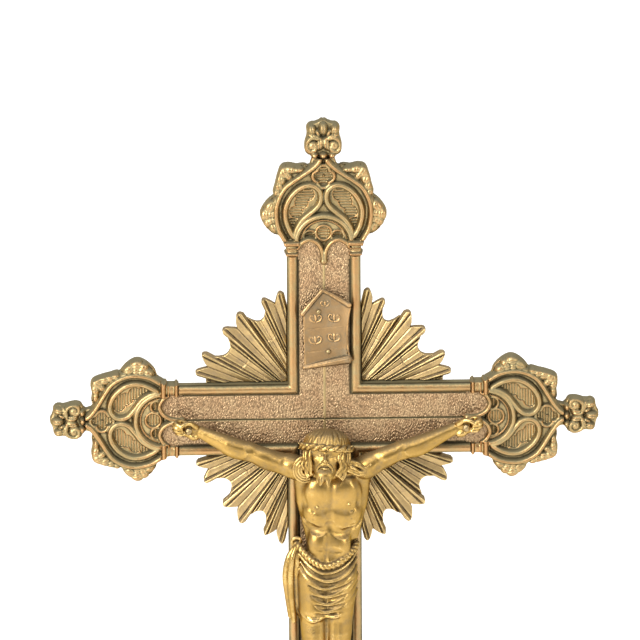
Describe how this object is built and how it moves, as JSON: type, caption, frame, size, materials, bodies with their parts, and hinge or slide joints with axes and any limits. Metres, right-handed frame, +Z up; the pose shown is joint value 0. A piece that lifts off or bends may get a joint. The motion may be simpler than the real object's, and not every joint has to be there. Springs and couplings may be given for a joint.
{
  "type": "altar cross",
  "caption": "Standing brass altar cross in Gothic Revival style with a cast figure, rays between the limbs, traceried leafy ends and a stepped hexagonal foot.",
  "frame": {"origin": "on the altar, under the middle of the stem and foot", "axes": "+Z up, X across the arms, -Y the side the figure faces"},
  "size_m": [0.2924, 0.1386, 0.5791],
  "materials": {
    "aged_brass": "cast, aged and rubbed",
    "sheet_brass": "dull sheet",
    "ray_brass": "file-finished, dull",
    "figure_brass": "polished, worn",
    "foot_brass": "turned and polished, aged",
    "brass_fixings": "dull",
    "iron_rod": "wrought, dark",
    "iron_plate": "blackened"
  },
  "bodies": {
    "foot": {"socket": "foot_brass", "stem_upper": "foot_brass", "knop_upper": "foot_brass", "knop_lower": "foot_brass", "knop_bosses": "foot_brass", "stem_lower": "foot_brass", "lower_collar": "foot_brass", "foot_dome": "foot_brass", "foot_step": "foot_brass", "foot_plinth": "foot_brass", "foot_plate": "iron_plate", "tie_rod": "iron_rod", "tie_rod_washer": "brass_fixings", "tie_rod_nut": "brass_fixings"},
    "cross": {"cross_front": "aged_brass", "back_plate": "sheet_brass", "back_plate_screws": "brass_fixings", "terminal_top": "aged_brass", "terminal_left": "aged_brass", "terminal_right": "aged_brass", "end_screws": "brass_fixings", "finial_top": "aged_brass", "finial_left": "aged_brass", "finial_right": "aged_brass", "finial_studs": "brass_fixings", "glory_upper_left": "ray_brass", "glory_upper_right": "ray_brass", "glory_lower_left": "ray_brass", "glory_lower_right": "ray_brass", "glory_screws": "brass_fixings", "title_scroll": "aged_brass", "title_pins": "brass_fixings", "corpus_body": "figure_brass", "corpus_arm_left": "figure_brass", "corpus_arm_right": "figure_brass", "corpus_studs": "brass_fixings", "corpus_nuts": "brass_fixings", "hand_nail_left": "brass_fixings", "hand_nail_right": "brass_fixings", "foot_nail": "brass_fixings", "foot_rest": "foot_brass", "foot_rest_screw": "brass_fixings", "shaft_collar": "foot_brass", "tang": "iron_rod", "tang_rivets": "brass_fixings"}
  },
  "joints": [
    {"name": "cross_lift", "type": "slide", "parent": "foot", "child": "cross", "axis": [0, 0, 1], "range_m": [0, 0.04]}
  ]
}
